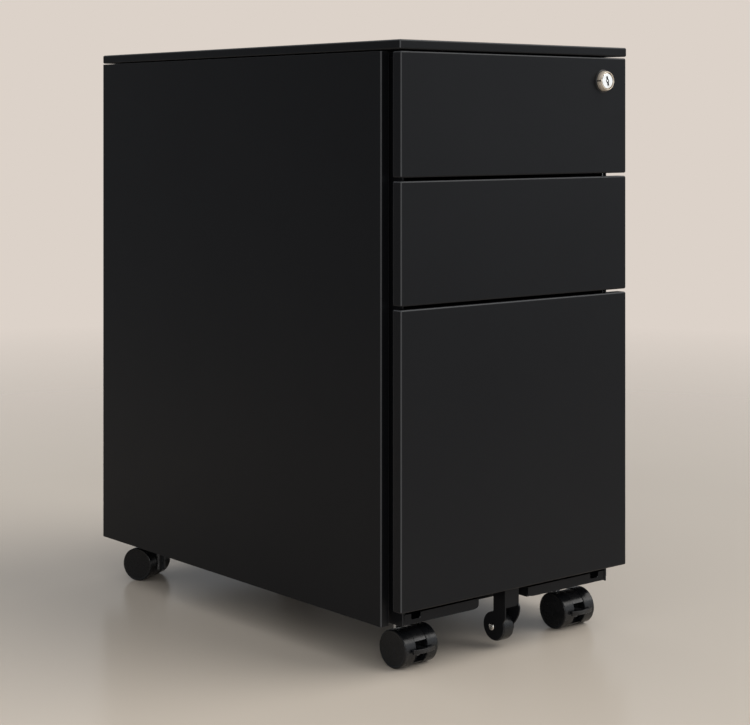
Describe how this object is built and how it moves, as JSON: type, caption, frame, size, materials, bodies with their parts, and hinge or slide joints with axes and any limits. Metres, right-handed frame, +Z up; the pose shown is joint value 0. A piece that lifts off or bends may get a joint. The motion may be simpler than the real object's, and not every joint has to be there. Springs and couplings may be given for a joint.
{
  "type": "mobile pedestal cabinet",
  "caption": "Slim black steel rolling pedestal with box drawers above a file drawer, a lock, braked twin-wheel casters and an anti-tip wheel.",
  "frame": {"origin": "on the floor under the centre of the bounding box, the drawers closed", "axes": "+Z up, front of the cabinet towards -Y, +X to the right seen from the front"},
  "size_m": [0.3, 0.506, 0.5765],
  "materials": {
    "powder_coat": "satin black powder coat with a fine grain",
    "zinc": "bright zinc plate",
    "chrome": "polished nickel chrome",
    "nylon": "moulded black nylon",
    "caster_tread": "moulded black nylon, polished by rolling"
  },
  "bodies": {
    "cabinet": {"top_panel": "powder_coat", "back_panel": "powder_coat", "base_panel": "powder_coat", "top_rail": "powder_coat", "side_panel_left": "powder_coat", "side_panel_right": "powder_coat", "front_upright_left": "powder_coat", "front_upright_right": "powder_coat", "rear_upright_left": "powder_coat", "rear_upright_right": "powder_coat", "slide_outer_top_left": "zinc", "slide_outer_top_right": "zinc", "slide_outer_middle_left": "zinc", "slide_outer_middle_right": "zinc", "slide_outer_file_left": "zinc", "slide_outer_file_right": "zinc", "caster_stem_front_left": "zinc", "caster_stem_front_right": "zinc", "caster_stem_rear_left": "zinc", "caster_stem_rear_right": "zinc"},
    "top_drawer": {"drawer_front_top": "powder_coat", "drawer_box_top": "powder_coat", "slide_inner_top_left": "zinc", "slide_inner_top_right": "zinc", "lock_barrel": "chrome", "lock_nut": "zinc"},
    "middle_drawer": {"drawer_front_middle": "powder_coat", "drawer_box_middle": "powder_coat", "slide_inner_middle_left": "zinc", "slide_inner_middle_right": "zinc"},
    "file_drawer": {"drawer_front_file": "powder_coat", "drawer_box_file": "powder_coat", "slide_inner_file_left": "zinc", "slide_inner_file_right": "zinc", "anti_tip_bracket": "powder_coat", "anti_tip_axle": "zinc"},
    "file_slide_members": {"slide_middle_file_left": "zinc", "slide_middle_file_right": "zinc"},
    "lock_core": {"lock_plug": "chrome", "lock_cam": "zinc"},
    "locking_bar": {"locking_bar": "zinc"},
    "anti_tip_wheel": {"anti_tip_wheel": "caster_tread"},
    "caster_front_left": {"caster_housing_front_left": "nylon", "caster_axle_front_left": "zinc"},
    "wheel_left_front_left": {"caster_wheel_left_front_left": "caster_tread"},
    "wheel_right_front_left": {"caster_wheel_right_front_left": "caster_tread"},
    "brake_front_left": {"brake_pedal_front_left": "nylon"},
    "caster_front_right": {"caster_housing_front_right": "nylon", "caster_axle_front_right": "zinc"},
    "wheel_left_front_right": {"caster_wheel_left_front_right": "caster_tread"},
    "wheel_right_front_right": {"caster_wheel_right_front_right": "caster_tread"},
    "brake_front_right": {"brake_pedal_front_right": "nylon"},
    "caster_rear_left": {"caster_housing_rear_left": "nylon", "caster_axle_rear_left": "zinc"},
    "wheel_left_rear_left": {"caster_wheel_left_rear_left": "caster_tread"},
    "wheel_right_rear_left": {"caster_wheel_right_rear_left": "caster_tread"},
    "caster_rear_right": {"caster_housing_rear_right": "nylon", "caster_axle_rear_right": "zinc"},
    "wheel_left_rear_right": {"caster_wheel_left_rear_right": "caster_tread"},
    "wheel_right_rear_right": {"caster_wheel_right_rear_right": "caster_tread"}
  },
  "joints": [
    {"name": "top_drawer_slide", "type": "slide", "parent": "cabinet", "child": "top_drawer", "axis": [0, -1, 0], "range_m": [0, 0.33]},
    {"name": "middle_drawer_slide", "type": "slide", "parent": "cabinet", "child": "middle_drawer", "axis": [0, -1, 0], "range_m": [0, 0.33]},
    {"name": "file_drawer_slide", "type": "slide", "parent": "cabinet", "child": "file_drawer", "axis": [0, -1, 0], "range_m": [0, 0.4]},
    {"name": "file_slide_members_slide", "type": "slide", "parent": "cabinet", "child": "file_slide_members", "axis": [0, -1, 0], "range_m": [0, 0.2]},
    {"name": "lock_turn", "type": "hinge", "parent": "top_drawer", "child": "lock_core", "pos_m": [0.116, -0.247, 0.5429], "axis": [0, 1, 0], "range_deg": [0, 90]},
    {"name": "locking_bar_slide", "type": "slide", "parent": "cabinet", "child": "locking_bar", "axis": [0, 0, -1], "range_m": [0, 0.012]},
    {"name": "anti_tip_wheel_roll", "type": "hinge", "parent": "file_drawer", "child": "anti_tip_wheel", "pos_m": [0.0006, -0.218, 0.0205], "axis": [1, 0, 0], "continuous": true},
    {"name": "caster_swivel_front_left", "type": "hinge", "parent": "cabinet", "child": "caster_front_left", "pos_m": [-0.1057, -0.1923, 0.04], "axis": [0, 0, 1], "continuous": true},
    {"name": "wheel_roll_left_front_left", "type": "hinge", "parent": "caster_front_left", "child": "wheel_left_front_left", "pos_m": [-0.10491, -0.20728, 0.0178], "axis": [0.9986, 0.0523, 0], "continuous": true},
    {"name": "wheel_roll_right_front_left", "type": "hinge", "parent": "caster_front_left", "child": "wheel_right_front_left", "pos_m": [-0.10491, -0.20728, 0.0178], "axis": [0.9986, 0.0523, 0], "continuous": true},
    {"name": "brake_press_front_left", "type": "hinge", "parent": "caster_front_left", "child": "brake_front_left", "pos_m": [-0.10434, -0.21826, 0.0177], "axis": [0.9986, 0.0523, 0], "range_deg": [0, 15]},
    {"name": "caster_swivel_front_right", "type": "hinge", "parent": "cabinet", "child": "caster_front_right", "pos_m": [0.1057, -0.1923, 0.04], "axis": [0, 0, 1], "continuous": true},
    {"name": "wheel_roll_left_front_right", "type": "hinge", "parent": "caster_front_right", "child": "wheel_left_front_right", "pos_m": [0.1057, -0.2073, 0.0178], "axis": [1, 0, 0], "continuous": true},
    {"name": "wheel_roll_right_front_right", "type": "hinge", "parent": "caster_front_right", "child": "wheel_right_front_right", "pos_m": [0.1057, -0.2073, 0.0178], "axis": [1, 0, 0], "continuous": true},
    {"name": "brake_press_front_right", "type": "hinge", "parent": "caster_front_right", "child": "brake_front_right", "pos_m": [0.1057, -0.2183, 0.0177], "axis": [1, 0, 0], "range_deg": [0, 15]},
    {"name": "caster_swivel_rear_left", "type": "hinge", "parent": "cabinet", "child": "caster_rear_left", "pos_m": [-0.1057, 0.208, 0.04], "axis": [0, 0, 1], "continuous": true},
    {"name": "wheel_roll_left_rear_left", "type": "hinge", "parent": "caster_rear_left", "child": "wheel_left_rear_left", "pos_m": [-0.11228, 0.22148, 0.0178], "axis": [-0.8988, -0.4384, 0], "continuous": true},
    {"name": "wheel_roll_right_rear_left", "type": "hinge", "parent": "caster_rear_left", "child": "wheel_right_rear_left", "pos_m": [-0.11228, 0.22148, 0.0178], "axis": [-0.8988, -0.4384, 0], "continuous": true},
    {"name": "caster_swivel_rear_right", "type": "hinge", "parent": "cabinet", "child": "caster_rear_right", "pos_m": [0.1057, 0.208, 0.04], "axis": [0, 0, 1], "continuous": true},
    {"name": "wheel_roll_left_rear_right", "type": "hinge", "parent": "caster_rear_right", "child": "wheel_left_rear_right", "pos_m": [0.1031, 0.22277, 0.0178], "axis": [-0.9848, -0.1736, 0], "continuous": true},
    {"name": "wheel_roll_right_rear_right", "type": "hinge", "parent": "caster_rear_right", "child": "wheel_right_rear_right", "pos_m": [0.1031, 0.22277, 0.0178], "axis": [-0.9848, -0.1736, 0], "continuous": true}
  ],
  "couplings": [
    {"joint": "file_slide_members_slide", "follows": "file_drawer_slide", "ratio": 0.5},
    {"joint": "lock_turn", "follows": "locking_bar_slide", "rad_per_m": 130.89}
  ]
}
